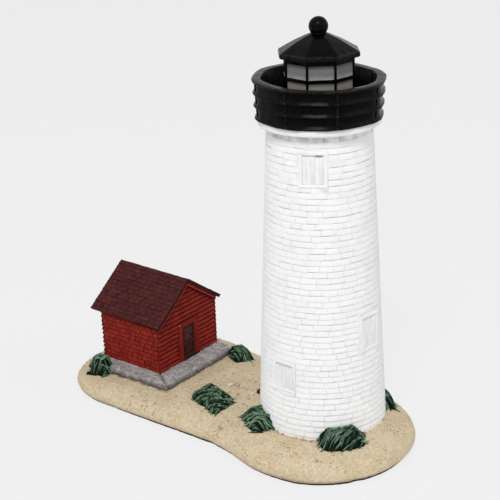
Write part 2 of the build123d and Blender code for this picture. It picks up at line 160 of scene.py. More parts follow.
class Shape:
    """Points, faces and one paint value per point, gathered in millimetres."""

    def __init__(self):
        self.points = []
        self.faces = []
        self.paint = []
        self.count = 0

    def add(self, points, faces, paint=0.0):
        points = np.asarray(points, float).reshape(-1, 3)
        self.points.append(points)
        self.faces.extend(tuple(self.count + i for i in face) for face in faces)
        self.paint.append(np.broadcast_to(np.asarray(paint, float), len(points)))
        self.count += len(points)

    def roughen(self, amount, size, seed):
        """Shifts the points by smooth noise, as a hand-made mould would."""
        points = np.concatenate(self.points)
        shifts = [wobble(points, size, seed + axis) for axis in range(3)]
        self.points = [points + amount * np.stack(shifts, axis=1)]

    def tip(self):
        """Sets the shed's roof a little askew: its west end and its north eave sit higher."""
        points = np.concatenate(self.points)
        west, north = ((points - eave_low) / (eave_high - eave_low))[:, :2].T
        points[:, 2] += roof_lift_west * (1 - west) + roof_lift_north * north
        self.points = [points]


def wobble(points, size, seed):
    """Smooth noise from about -1 to 1, with swells of about that size."""
    offset = Vector((seed * 17.31, seed * 5.93, seed * 11.17))
    return np.array([noise.noise(Vector(point) / size + offset) for point in points])


def piece(name, shape, slot, *nodes, crease=42.0):
    """Makes a shape into an object that stands for CAD nodes and takes a material slot's finish."""
    mesh = bpy.data.meshes.new(name)
    mesh.from_pydata((np.concatenate(shape.points) * MM).tolist(), [], shape.faces)
    work = bmesh.new()
    work.from_mesh(mesh)
    bmesh.ops.recalc_face_normals(work, faces=work.faces)
    work.to_mesh(mesh)
    work.free()
    paint = mesh.attributes.new("paint", "FLOAT", "POINT")
    paint.data.foreach_set("value", np.concatenate(shape.paint).astype(np.float32))
    mesh.shade_smooth()
    mesh.set_sharp_from_angle(angle=math.radians(crease))
    mesh.materials.append(coats[slot])
    made = bpy.data.objects.new(name, mesh)
    bpy.context.scene.collection.objects.link(made)
    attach(made, "root")
    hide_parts(*nodes)
    return made


def grid_faces(rows, columns, closed=False, first=0):
    """Quads between neighbouring rows of points; closed joins each row's end to its start."""
    spans = columns if closed else columns - 1
    return [
        tuple(
            first + r * columns + c % columns
            for r, c in ((row, column), (row, column + 1), (row + 1, column + 1), (row + 1, column))
        )
        for row in range(rows - 1)
        for column in range(spans)
    ]


def lathe(shape, profile, sides=96, reach=None, ring=False, lift=None):
    """Turns (radius, height, paint) points about the tower. A ring joins its last point to its first."""
    bearings = np.linspace(0, 2 * math.pi, sides, endpoint=False)
    stretch = reach(bearings) if reach else np.ones(sides)
    rows = profile + profile[:1] if ring else profile
    points = []
    for radius, height, _ in profile:
        level = np.full(sides, height) if lift is None else lift(bearings, height)
        out = radius * stretch
        points.append(np.stack([out * np.sin(bearings), -out * np.cos(bearings), level], 1))
    count = len(profile) * sides
    faces = [tuple(i % count for i in face) for face in grid_faces(len(rows), sides, closed=True)]
    if not ring:
        faces += [tuple(range(sides)), tuple(range(count - sides, count))]
    shape.add(np.concatenate(points), faces, np.repeat([tone for _, _, tone in profile], sides))


def block(shape, place, span, rise, back, front, edge, bow=2, paint=(1.0, 0.4, 0.0)):
    """A bevelled block on a wall: place(u, v, out) gives points, front may differ from foot to head."""
    left, right = span
    foot, head = rise
    edge = min(edge, 0.3 * (right - left), 0.3 * (head - foot))
    low_front, high_front = front if isinstance(front, tuple) else (front, front)
    loops = ((0.0, back, back), (0.0, low_front - edge, high_front - edge), (edge, low_front, high_front))
    points = []
    for inset, low_out, high_out in loops:
        across = np.linspace(left + inset, right - inset, bow)
        points += [place(u, foot + inset, low_out) for u in across]
        points += [place(u, head - inset, high_out) for u in across[::-1]]
    around = 2 * bow
    faces = grid_faces(len(loops), around, closed=True)
    for first in (0, 2 * around):
        faces += [
            (first + i, first + i + 1, first + around - 2 - i, first + around - 1 - i) for i in range(bow - 1)
        ]
    shape.add(points, faces, np.repeat(paint, around))


def slab(shape, front, back, columns, paint):
    """A solid between two grids of points that match, closed round its rim."""
    count = len(front)
    rows = np.arange(count).reshape(-1, columns).tolist()
    rim = rows[0] + [row[-1] for row in rows[1:]] + rows[-1][-2::-1] + [row[0] for row in rows[-2:0:-1]]
    faces = grid_faces(len(rows), columns) + grid_faces(len(rows), columns, first=count)
    faces += [(a, b, b + count, a + count) for a, b in zip(rim, rim[1:] + rim[:1])]
    shape.add(np.vstack([front, back]), faces, np.tile(paint, 2))


def flat(origin, across, up):
    """A place function for a flat wall; out runs along across x up."""
    origin, across, up = (np.asarray(v, float) for v in (origin, across, up))
    out = np.cross(across, up)
    return lambda u, v, w: origin + across * u + up * v + out * w


def cut(spans, left, right, shortest=0.8):
    """Spans with the stretch from left to right taken out."""
    parts = []
    for start, end in spans:
        parts += [(start, min(end, left)), (max(start, right), end)]
    return [(start, end) for start, end in parts if end - start > shortest]


def jambs(shape, place, span, trim, *rest):
    """Two upright blocks, trim wide, at the ends of a span."""
    left, right = span
    block(shape, place, (left, left + trim), *rest)
    block(shape, place, (right - trim, right), *rest)


def curved(unit_radius, reach):
    """A place function for a round wall: u runs along a circle of one radius, reach gives the wall's at v."""

    def place(u, v, out):
        turn, radius = u / unit_radius, reach(v) + out
        return (radius * math.sin(turn), -radius * math.cos(turn), v)

    return place


def course(length, unit, source, offset=0.0):
    """Spans of uneven blocks, about unit long, that fill a course of that length."""
    widths = source.uniform(0.78, 1.25, max(1, round(length / unit)))
    ends = np.concatenate([[0.0], np.cumsum(widths)]) * length / widths.sum()
    return [(start + offset, end + offset) for start, end in zip(ends[:-1], ends[1:])]


def staggered(rows, length, unit, lap, shortest, source):
    """Row numbers and spans of courses, each half a unit on from the last, cut off at lap past the wall."""
    for row in range(rows):
        shift = (row % 2) * unit / 2 - unit
        for left, right in course(length + unit, unit, source, shift):
            left, right = max(-lap, left), min(length + lap, right)
            if right - left > shortest:
                yield row, left, right


def rgb(red, green, blue):
    """A display colour as linear light, for a shader."""
    share = [value / 255 for value in (red, green, blue)]
    return tuple(c / 12.92 if c <= 0.04045 else ((c + 0.055) / 1.055) ** 2.4 for c in share) + (1.0,)


def add_node(tree, kind, result, inputs, **settings):
    """Adds a shader node, feeds its inputs with sockets or values, and gives the named output."""
    made = tree.nodes.new("ShaderNode" + kind)
    for key, value in settings.items():
        setattr(made, key, value)
    for key, value in inputs.items():
        if isinstance(value, bpy.types.NodeSocket):
            tree.links.new(value, made.inputs[key])
        else:
            made.inputs[key].default_value = value
    return made.outputs[result] if result else None


coats = {}


class Paint:
    """The material of a slot, with short ways to lay colours over each other; sizes are in millimetres."""

    def __init__(self, slot, roughness, specular):
        self.slot = slot
        self.material = bpy.data.materials.new(slot)
        self.material.use_nodes = True
        self.tree = self.material.node_tree
        self.shader = self.tree.nodes["Principled BSDF"]
        self.shader.inputs["Roughness"].default_value = roughness
        self.shader.inputs["Specular IOR Level"].default_value = specular
        self.spot = add_node(self.tree, "TexCoord", "Object", {})
        self.mark = add_node(self.tree, "Attribute", "Fac", {}, attribute_name="paint")

    def level(self):
        """Height above the floor, in metres."""
        return add_node(self.tree, "SeparateXYZ", "Z", {"Vector": self.spot})

    def grain(self, size, detail=4.0, stretch=None):
        """Noise from 0 to 1 with grains of that size, stretched along the axes if asked."""
        spot = self.spot
        if stretch:
            spot = add_node(self.tree, "Mapping", "Vector", {"Scale": stretch, "Vector": spot})
        inputs = {"Scale": 1 / (size * MM), "Detail": detail, "Vector": spot}
        return add_node(self.tree, "TexNoise", "Fac", inputs)

    def cells(self, size):
        """Distance to the nearest of points scattered about that far apart, in cell widths."""
        return add_node(self.tree, "TexVoronoi", "Distance", {"Scale": 1 / (size * MM), "Vector": self.spot})

    def band(self, value, low, high, to_low=0.0, to_high=1.0):
        """A value's stretch from low to high, spread over to_low to to_high."""
        ends = {"From Min": low, "From Max": high, "To Min": to_low, "To Max": to_high}
        return add_node(self.tree, "MapRange", "Result", {"Value": value, **ends})

    def times(self, first, second):
        return add_node(self.tree, "Math", "Value", {0: first, 1: second}, operation="MULTIPLY")

    def mix(self, share, *colours):
        """Two colours, each a socket or a display colour, mixed by the second one's share."""
        under, over = (c if isinstance(c, bpy.types.NodeSocket) else rgb(*c) for c in colours)
        inputs = {"Factor": share, "A": under, "B": over}
        return add_node(self.tree, "Mix", "Result", inputs, data_type="RGBA")

    def patches(self, coat, colour, size, low=0.38, high=0.62, most=1.0, detail=4.0):
        """Lays a colour over a coat where the grain runs from low to high, up to a share of most."""
        return self.mix(self.band(self.grain(size, detail), low, high, 0.0, most), coat, colour)

    def stain_and_painted_light(self, coat, colour, low, high, most=1.0):
        """Lays a colour over a coat where the paint value runs from low to high, for stains and for painted
        shade and highlights.
        """
        return self.mix(self.band(self.mark, low, high, 0.0, most), coat, colour)

    def brush(self, coat, colour, size, low, high, least, detail=4.0):
        """Lays a colour over a coat by the paint value, broken up by grain down to a share of least; used for
        brushed paint, wear and painted light.
        """
        broken = self.band(self.grain(size, detail), low, high, least)
        return self.mix(self.times(self.mark, broken), coat, colour)

    def finish(self, coat, height, depth):
        """Joins the colour, and a bump whose full height is depth."""
        self.tree.links.new(coat, self.shader.inputs["Base Color"])
        bump = add_node(self.tree, "Bump", "Normal", {"Distance": depth * MM, "Height": height})
        self.tree.links.new(bump, self.shader.inputs["Normal"])
        coats[self.slot] = self.material


def white_paint():
    paint = Paint("white_brick", 0.6, 0.2)
    coat = paint.patches((247, 247, 246), (242, 243, 244), 9.0, 0.35, 0.65, detail=3.0)
    coat = paint.patches(coat, (222, 224, 225), 1.1, 0.55, 0.8, 0.25, 3.0)
    # Grey by the paint value: dark joints between bricks, and painted shade in the window slots and sashes,
    # under the cornice roll and on the soldier course below it.
    coat = paint.brush(coat, (160, 162, 165), 4.0, 0.4, 0.62, 0.1)
    paint.finish(coat, paint.grain(0.7), 0.12)


def black_paint():
    paint = Paint("black_paint", 0.24, 0.04)
    coat = paint.patches((2, 2, 3), (7, 7, 8), 3.0, 0.4, 0.7, detail=3.0)
    # Grey by the paint value: worn paint on edges, strengthened as a painted reflection at the rim's sides,
    # and painted highlights on the parapet's knobs and along the lantern roof's eave.
    coat = paint.brush(coat, (100, 99, 99), 1.3, 0.36, 0.64, 0.2, 5.0)
    paint.finish(coat, paint.grain(1.6, 3.0), 0.04)


def pane_paint():
    paint = Paint("panes", 0.4, 0.25)
    # The paint value lightens each pane towards its foot, as a painted highlight.
    coat = paint.mix(paint.mark, (126, 125, 126), (178, 176, 173))
    low, high = (level * MM for level in (pane_rows[0][1], pane_rows[1][0]))
    coat = paint.mix(paint.band(paint.level(), high, low, 0.0, 0.5), coat, (168, 158, 148))
    coat = paint.patches(coat, (108, 106, 106), 1.6, 0.45, 0.7, 0.4)
    # Below zero it darkens the top of each pane, as painted shade under the bar and roof above.
    coat = paint.stain_and_painted_light(coat, (24, 23, 23), 0.0, -1.0)
    paint.finish(coat, paint.grain(0.8, 3.0), 0.08)


def sand_paint():
    paint = Paint("sand", 0.85, 0.1)
    coat = paint.patches((218, 200, 168), (207, 188, 154), 8.0, detail=3.0)
    coat = paint.patches(coat, (234, 219, 192), 1.1, 0.45, 0.62, 0.6)
    coat = paint.patches(coat, (168, 144, 108), 0.8, 0.55, 0.68, 0.4, 3.0)
    orange_clusters = paint.band(paint.grain(6.0, 3.0), 0.5, 0.62)
    orange = paint.times(orange_clusters, paint.band(paint.cells(2.6), 0.24, 0.14, 0.0, 0.7))
    coat = paint.mix(orange, coat, (188, 138, 88))
    brown_clusters = paint.band(paint.grain(9.0, 2.0), 0.48, 0.6)
    brown = paint.times(brown_clusters, paint.band(paint.cells(1.5), 0.26, 0.12, 0.0, 0.9))
    coat = paint.mix(brown, coat, (112, 84, 52))
    # Brown by the paint value: random patches, pits and lumps, the shore's sides darker towards the bottom,
    # and painted shade beside the plinth.
    coat = paint.stain_and_painted_light(coat, (98, 80, 60), 0.0, 1.0, 0.85)
    coat = paint.stain_and_painted_light(coat, (248, 247, 243), 0.0, -1.0)
    paint.finish(coat, paint.grain(0.6), 0.5)


def stone_paint():
    paint = Paint("stone", 0.8, 0.1)
    coat = paint.patches((200, 197, 195), (162, 159, 161), 2.4, detail=3.0)
    coat = paint.patches(coat, (150, 126, 130), 2.2, 0.52, 0.68, 0.6)
    coat = paint.patches(coat, (124, 126, 112), 2.7, 0.55, 0.7, 0.5)
    coat = paint.patches(coat, (198, 192, 184), 0.8, 0.5, 0.66, 0.65)
    coat = paint.patches(coat, (84, 78, 72), 0.7, 0.52, 0.68, 0.7)
    # Dark by the paint value: grooves and pits, and the battered sides as painted shade.
    coat = paint.stain_and_painted_light(coat, (58, 50, 46), 0.0, 1.0, 0.9)
    paint.finish(coat, paint.grain(0.9, 5.0), 0.8)


def red_paint():
    paint = Paint("red_boards", 0.62, 0.06)
    coat = paint.patches((144, 42, 32), (122, 33, 27), 4.0, detail=3.0)
    coat = paint.patches(coat, (164, 58, 44), 0.8, 0.5, 0.7, 0.5)
    # Dark red by the paint value: dark joints between the long walls' bricks, and painted shade in the gaps
    # under the gable boards' laps.
    coat = paint.stain_and_painted_light(coat, (38, 8, 9), 0.1, 1.0, 0.95)
    # Below zero it lightens: a chip of worn paint on the door casing, and a painted highlight along the
    # bargeboards' lip.
    coat = paint.stain_and_painted_light(coat, (196, 116, 94), 0.0, -1.0)
    paint.finish(coat, paint.grain(0.8), 0.15)


def shingle_paint():
    paint = Paint("shingles", 0.65, 0.06)
    coat = paint.patches((81, 38, 37), (65, 28, 30), 3.2, detail=3.0)
    coat = paint.patches(coat, (112, 64, 61), 0.8, 0.5, 0.7, 0.5)
    # Dark by the paint value: joints between shingles, and painted shade under their laps.
    coat = paint.stain_and_painted_light(coat, (36, 15, 18), 0.15, 1.0, 0.7)
    paint.finish(coat, paint.grain(0.8), 0.14)


def door_paint():
    paint = Paint("door_brown", 0.6, 0.08)
    coat = paint.patches((80, 35, 31), (58, 22, 21), 1.5, 0.38, 0.65)
    coat = paint.stain_and_painted_light(coat, (24, 8, 9), 0.15, 1.0, 0.85)
    coat = paint.stain_and_painted_light(coat, (104, 78, 76), 0.0, -1.0)
    paint.finish(coat, paint.grain(0.9, stretch=(1.0, 1.0, 0.2)), 0.12)


def grass_paint():
    paint = Paint("grass", 0.75, 0.06)
    coat = paint.patches((17, 32, 26), (8, 17, 14), 2.5, detail=3.0)
    coat = paint.brush(coat, (166, 210, 172), 1.2, 0.32, 0.58, 0.4)
    paint.finish(coat, paint.grain(0.6), 0.1)


def felt_paint():
    paint = Paint("felt", 0.95, 0.05)
    coat = paint.patches((40, 44, 39), (58, 61, 55), 0.5, 0.35, 0.65)
    coat = paint.mix(paint.mark, coat, (74, 75, 68))
    paint.finish(coat, paint.grain(0.25), 0.12)


white_paint()
black_paint()
pane_paint()
sand_paint()
stone_paint()
red_paint()
shingle_paint()
door_paint()
grass_paint()
felt_paint()


def shoreline(node, height, count):
    """Evenly spaced points along a node's outline at a height, round the base's middle."""
    points = np.array([vertex.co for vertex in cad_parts[node].data.vertices]) / MM
    points = points[np.abs(points[:, 2] - height) < 0.05, :2]
    away = points - base_middle[:2]
    points = points[np.argsort(np.arctan2(away[:, 1], away[:, 0]))]
    loop = np.vstack([points, points[:1]])
    along = np.concatenate([[0.0], np.cumsum(np.hypot(*np.diff(loop, axis=0).T))])
    stops = np.linspace(0, along[-1], count, endpoint=False)
    return np.stack([np.interp(stops, along, loop[:, axis]) for axis in (0, 1)], axis=1)


shore = shoreline("sand_base", shore_height, shore_points)
shore_tree = KDTree(shore_points)
for index, (x, y) in enumerate(shore):
    shore_tree.insert((x, y, 0), index)
shore_tree.balance()


def ground(x, y):
    """Height of the smooth sand at a place; it lies lower round the plinth and at the shed's end."""
    inset = min(shore_tree.find((x, y, 0))[2], dome_run)
    rise = math.sin(math.acos(1 - inset / dome_run))
    off_x = max(plinth_low[0] - x, x - plinth_high[0], 0.0)
    off_y = max(plinth_low[1] - y, y - plinth_high[1], 0.0)
    dip = yard_dip * math.exp(-((off_x**2 + off_y**2) / yard_dip_reach**2))
    end = end_drop * np.clip((plinth_low[0] + plinth_high[0]) / 2 - x, 0, dome_run) / dome_run
    end += west_drop * np.clip((plinth_low[0] - x) / west_run, 0, 1)
    return shore_height + (sand_top - shore_height - dip - end) * rise


def worn_shore(points):
    """The points, moved in from the shore as unevenly as the casting's edge."""
    plan = points * (1, 1, 0)
    lumps = 0.2 + 0.6 * wobble(plan, 16.0, 7) + 0.6 * wobble(plan, 6.0, 5) + 0.25 * wobble(plan, 2.0, 6)
    for x, y, depth, reach in shore_bites:
        lumps += depth * np.exp(-((plan[:, 0] - x) ** 2 + (plan[:, 1] - y) ** 2) / reach**2)
    inward = base_middle * (1, 1, 0) - plan
    inward /= np.linalg.norm(inward, axis=1)[:, None] + 1e-9
    return points + inward * np.maximum(lumps, 0.05)[:, None]


def boulder(shape, middle, reach, source, paint):
    """A small uneven lump, as far from its middle along each axis as reach says."""
    rows, columns = 5, 8
    reach = np.broadcast_to(reach, 3)
    points = [middle + reach * UP, middle - reach * UP]
    for row in range(1, rows):
        tilt = math.pi * row / rows
        for column in range(columns):
            turn = 2 * math.pi * column / columns
            ray = np.array([math.sin(tilt) * math.cos(turn), math.sin(tilt) * math.sin(turn), math.cos(tilt)])
            points.append(middle + reach * ray * source.uniform(0.75, 1.1))
    faces = grid_faces(rows - 1, columns, closed=True, first=2)
    last = 2 + (rows - 2) * columns
    for column in range(columns):
        after = (column + 1) % columns
        faces += [(0, 2 + column, 2 + after), (1, last + after, last + column)]
    shape.add(points, faces, paint)


def sand():
    """The domed sand with swells, grain, pits and loose lumps."""
    source = np.random.default_rng(11)
    settle = 0.25
    kerb_shade_reach = 1.0
    pit_depth = 0.4
    loose_pits, loose_lumps, foot_lumps = 60, 110, 110
    pits = [(20.0, -30.8), (18.6, -31.4), (-55.5, -35.0), (-52.5, -35.8), (-50.0, -37.0), (-29.6, -9.2)]
    chip, pale_lump = (-43.1, -4.5), (-30.7, -5.8)
    shares = np.linspace(1, 0, sand_rings, endpoint=False)
    spokes = shore - base_middle[:2]
    top = np.array([
        (x, y, ground(x, y)) for share in shares for x, y in base_middle[:2] + spokes * share
    ])
    swell = 0.3 * wobble(top, 15.0, 1) + 0.22 * wobble(top, 5.0, 2) + 0.14 * wobble(top, 1.4, 3)
    top[:, 2] += swell - settle
    paint = np.clip(0.5 * wobble(top, 2.4, 4) - 0.2, 0, 1)
    # Sand next to the plinth is painted dark, as painted shade at the plinth's foot.
    beside = np.maximum(np.maximum(plinth_low - top, top - plinth_high), 0.0)[:, :2]
    kerb_shade = np.exp(-np.sum(beside**2, axis=1) / kerb_shade_reach**2)
    paint = np.maximum(paint, kerb_shade * np.clip(0.4 + wobble(top, 2.6, 8), 0, 1))
    places = top[source.integers(0, len(top), loose_pits), :2]
    for place in np.vstack([places, pits]):
        reach = source.uniform(0.35, 0.75)
        near = np.exp(-np.sum((top[:, :2] - place) ** 2, axis=1) / reach**2)
        top[:, 2] -= pit_depth * near
        paint = np.maximum(paint, 0.8 * near)
    edge = np.linspace(0, 1, 7)[1:]
    inward = -spokes / np.hypot(*spokes.T)[:, None]
    rim = shore_height - settle
    side = [
        np.hstack([
            shore + inward * shore_undercut * share**2,
            np.full((shore_points, 1), rim - share * (rim - sand_low[2])),
        ])
        for share in edge[::-1]
    ]
    rings = np.vstack(side + [top])
    outer = np.clip(1 - (rings[:, 2] - shore_height) / 4, 0, 1)[:, None]
    rings = outer * worn_shore(rings) + (1 - outer) * rings
    # The shore's sides are painted darker towards the bottom.
    stain_and_painted_light = np.linspace(0.5, 0.1, len(edge)).repeat(shore_points)
    shape = Shape()
    rows = len(edge) + sand_rings
    faces = grid_faces(rows, shore_points, closed=True)
    faces += [tuple(range(shore_points)), tuple(range((rows - 1) * shore_points, rows * shore_points))]
    shape.add(rings, faces, np.concatenate([stain_and_painted_light, paint]))
    for (x, y), reach in ((chip, (0.7, 1.9, 0.5)), (pale_lump, (0.7, 0.9, 0.6))):
        boulder(shape, np.array([x, y, ground(x, y)]), reach, source, -1.0)
    for turn in source.uniform(0, 360, foot_lumps):
        x, y, _ = heading(turn) * (foot_radius + source.uniform(0.1, 1.4))
        tone = source.uniform(-0.1, 0.55)
        boulder(shape, np.array([x, y, ground(x, y) - settle]), source.uniform(0.35, 0.8), source, tone)
    for x, y in top[source.integers(0, len(top), loose_lumps), :2]:
        tone = source.uniform(-0.25, 0.4)
        boulder(shape, np.array([x, y, ground(x, y) - settle]), source.uniform(0.25, 0.5), source, tone)
    piece("sandy_base", shape, "sand", "sand_base")


def felt():
    """The felt sheet under the base, with an uneven cut edge."""
    fray, soft_edge = 0.12, 0.12
    low, high = box("felt_pad")
    edge = shoreline("felt_pad", low[2], shore_points)
    away = base_middle[:2] - edge
    away /= np.hypot(*away.T)[:, None]
    rows = []
    for share, inset in ((0.0, soft_edge), (0.35, 0.0), (0.7, 0.0), (1.0, soft_edge)):
        ring = np.hstack([edge, np.full((shore_points, 1), low[2] + share * (high[2] - low[2]))])
        ring[:, :2] += away * (inset + fray * (1 + wobble(ring, 1.4, 21)))[:, None]
        rows.append(worn_shore(ring))
    shape = Shape()
    count = len(rows) * shore_points
    faces = grid_faces(len(rows), shore_points, closed=True)
    faces += [tuple(range(shore_points)), tuple(range(count - shore_points, count))]
    shape.add(np.vstack(rows), faces, np.tile(np.clip(wobble(rows[0], 1.2, 22), 0, 1), len(rows)))
    made = piece("felt_sheet", shape, "felt", "felt_pad")


def tower_radius(height):
    return foot_radius + (neck_radius - foot_radius) * (height - sand_top) / (tower_top - sand_top)


def on_tower(bearing, height):
    """Point on the shaft's wall, the level direction along it, and the direction up it."""
    out = heading(bearing)
    across = np.array([-out[1], out[0], 0.0])
    lean = (foot_radius - neck_radius) / (tower_top - sand_top)
    up = UP - lean * out
    return out * tower_radius(height) + height * UP, across, up / np.linalg.norm(up)


def tower():
    """The brick shaft: lapped courses of uneven bricks on a mortar core, left out at windows and door."""
    source = np.random.default_rng(21)
    segment = 1.6
    frame_lap = 0.15
    shape = Shape()
    foot = sand_top - tower_bury
    levels = np.linspace(foot, tower_top, 24)
    lathe(shape, [(tower_radius(z) - core_depth, z, 1.0) for z in levels], 160)
    gaps = [(turn, sand_top + mid, height, window_width) for turn, mid, height in window_places.values()]
    door_low, door_high = box("tower_door_frame")
    _, door_width, door_height = door_high - door_low
    gaps.append((door_bearing, (door_low[2] + door_high[2]) / 2, door_height, door_width))
    for row in range(math.ceil((tower_top - foot) / course_height)):
        bottom = foot + row * course_height
        top = min(bottom + course_height, tower_top + bed_gap)
        radius = tower_radius(bottom)
        depth = strip_depth * (1 - joint_fade * (bottom - foot) / (tower_top - foot))
        around = 2 * math.pi * radius
        start = source.uniform(-1.0, 0.0) * brick_length
        strips = [(start, start + around)]
        bricks = course(around, brick_length, source, start)
        for bearing, middle, height, width in gaps:
            if abs(bottom + course_height / 2 - middle) < height / 2:
                reach = radius * math.asin((width / 2 - frame_lap) / radius)
                for turn in (-360, 0, 360):
                    centre = math.radians(bearing + turn) * radius
                    strips = cut(strips, centre - reach, centre + reach)
                    bricks = cut(bricks, centre - reach, centre + reach)
        place = curved(radius, tower_radius)
        rise = (bottom + bed_gap / 2, top - bed_gap / 2)
        for start, end in strips:
            bow = max(2, round((end - start) / segment))
            block(shape, place, (start, end), rise, -core_depth - 0.2, -depth, 0.05, bow, (0.7, 0.2, 0.05))
        for start, end in bricks:
            proud = source.uniform(0.07, 0.13)
            half = head_joint / 2 + source.uniform(-0.06, 0.12)
            shift = source.uniform(-0.16, 0.16)
            tone = source.uniform(0.0, 0.06)
            block(shape, place, (start + half, end - half), (rise[0] + shift, rise[1] + shift), -core_depth,
                  (proud, proud - depth - 0.05), 0.1, 4, (0.7, 0.12, tone))
    shape.roughen(0.1, 1.7, 31)
    piece("brick_shaft", shape, "white_brick", "tower_shaft")


def window(name, bearing, middle, height, seed, slot):
    """A cast window: low frame, lintel and sill round a slatted sash, with a slot under the lintel; slot and
    sash are painted grey as painted shade.
    """
    source = np.random.default_rng(seed)
    jamb, lintel, sill = 1.5, 1.4, 1.2
    jamb_proud, lintel_proud, skirt, skirt_depth = 0.15, 0.25, 0.9, 0.12
    sash_depth, slot_depth, seat = 0.25, 0.65, 1.5
    slats, slat_gap = 5, 0.1
    tones = (0.4, 0.1, 0.0)
    place = flat(*on_tower(bearing, sand_top + middle))
    half_width, half_height = window_width / 2, height / 2
    full, inner = (-half_width, half_width), half_width - jamb
    foot, head = sill - half_height, half_height - lintel
    shape = Shape()
    for rise in ((half_height, half_height + skirt), (-half_height - skirt, -half_height)):
        block(shape, place, full, rise, -seat, -skirt_depth, 0.05, 6, (0.3, 0.1, 0.0))
    jambs(shape, place, full, jamb, (-half_height, half_height), -seat, jamb_proud, 0.25, 2, tones)
    for rise in ((head, half_height), (-half_height, foot)):
        block(shape, place, full, rise, -seat, lintel_proud, 0.22, 6, tones)
    # The slot under the lintel is painted darkest, as painted shade.
    block(shape, place, (-inner, inner), (foot, head), -seat, -slot_depth, 0.05, 2, (1.0, 1.0, 1.0))
    # The sash and its slats are painted grey, as painted shade in the recess behind the frame.
    block(shape, place, (-inner, inner), (foot, head - slot), -seat, -sash_depth, 0.05, 2, (0.6, 0.4, 0.25))
    wide = 2 * inner / slats
    for left in np.arange(slats) * wide - inner:
        top = head - slot - source.uniform(0.0, 0.3)
        block(shape, place, (left + slat_gap, left + wide - slat_gap), (foot, top), -1.0,
              source.uniform(-0.1, 0.05), 0.2, 2, (0.6, 0.25, 0.05))
    shape.roughen(0.1, 1.6, seed)
    piece(name + "_cast", shape, "white_brick", name)


def tower_doorway():
    """The plank door, its frame and its step, on the side of the shed."""
    trim, seat, proud, leaf_depth, planks = 1.3, 1.5, 0.45, 0.35, 4
    tones = (0.6, 0.2, 0.0)
    low, high = box("tower_door_frame")
    _, half_width, half_height = (high - low) / 2
    full, head = (-half_width, half_width), half_height - trim
    place = flat(*on_tower(door_bearing, (low[2] + high[2]) / 2))
    casing = Shape()
    jambs(casing, place, full, trim, (-half_height, half_height), -seat, proud, 0.2, 2, tones)
    block(casing, place, full, (head, half_height), -seat, proud + 0.1, 0.2, 2, tones)
    casing.roughen(0.08, 1.6, 41)
    piece("tower_door_casing", casing, "white_brick", "tower_door_frame")
    leaf = Shape()
    inner = half_width - trim
    plank = 2 * inner / planks
    for left in np.arange(planks) * plank - inner:
        block(leaf, place, (left, left + plank), (-half_height, head), -seat, -leaf_depth, 0.18)
    leaf.roughen(0.07, 1.4, 42)
    piece("tower_door_leaf", leaf, "door_brown", "tower_door")
    low, high = box("tower_step")
    tread = Shape()
    level = flat((0, 0, high[2]), (1, 0, 0), (0, 1, 0))
    block(tread, level, (low[0], high[0]), (low[1], high[1]), low[2] - high[2], 0.0, 0.3, 8, (0.9, 0.4, 0.0))
    tread.roughen(0.12, 1.8, 43)
    piece("door_step", tread, "door_brown", "tower_step")


def cornice():
    """The soldier course at the neck and the white roll that carries the gallery, with painted shade on the
    soldiers' fronts and the roll's underside.
    """
    source = np.random.default_rng(51)
    soldier_length, soldier_joint = 6.4, 0.22
    band_foot, band_top = tower_top - 0.3, tower_top + 2.0
    high = box("tower_cornice")[1]
    roll = high[0] + 0.25
    shape = Shape()
    lathe(shape, [(neck_radius - 0.3, tower_top - 0.4, 1.0), (neck_radius - 0.3, band_top + 0.5, 1.0)], 160)
    # The roll's underside is painted darker towards the neck, as painted shade.
    profile = [
        (neck_radius - 0.5, band_top - 0.1, 1.0),
        (neck_radius + 0.8, band_top + 0.1, 0.4),
        (roll - 0.6, band_top + 0.3, 0.1),
        (roll - 0.15, band_top + 0.6, 0.0),
        (roll, band_top + 1.1, 0.0),
        (roll, high[2] - 0.5, 0.0),
        (roll - 0.2, high[2] - 0.1, 0.0),
        (roll - 0.6, high[2], 0.1),
    ]
    lathe(shape, profile, 240)
    place = curved(neck_radius, lambda height: neck_radius)
    half = soldier_joint / 2
    for start, end in course(2 * math.pi * neck_radius, soldier_length, source):
        proud = source.uniform(0.05, 0.2)
        # Soldier fronts painted grey, as painted shade under the roll.
        tones = (0.9, 0.6, source.uniform(0.45, 0.75))
        block(shape, place, (start + half, end - half), (band_foot, band_top), -1.0, proud, 0.15, 6, tones)
    shape.roughen(0.12, 2.2, 52)
    piece("white_cornice", shape, "white_brick", "tower_cornice")


def eight_sided(facing, limit):
    """A reach function for an eight-sided ring whose corners are rounded off at limit times its apothem."""
    sharpness = 160

    def reach(bearings):
        off = (np.degrees(bearings) - facing + facet / 2) % facet - facet / 2
        corner = 1 / np.cos(np.radians(off))
        return corner - np.logaddexp(0, (corner - limit) * sharpness) / sharpness

    return reach


def parapet_plan(bearings):
    """Reach of the parapet, whose eight sides bulge towards a circle."""
    sides = eight_sided(gallery_facing, gallery_corner / gallery_apothem)(bearings)
    return facet_share * sides + (1 - facet_share) * gallery_round / gallery_apothem


def rim_height(bearings, height):
    """The parapet's rim is a little out of level, and its rails share the difference."""
    share = (height - gallery_low[2]) / (gallery_high[2] - gallery_low[2])
    tilt = rim_rise + rim_tilt * np.cos(bearings - math.radians(rim_tilt_bearing))
    return height + np.clip(share, 0, 1) * tilt


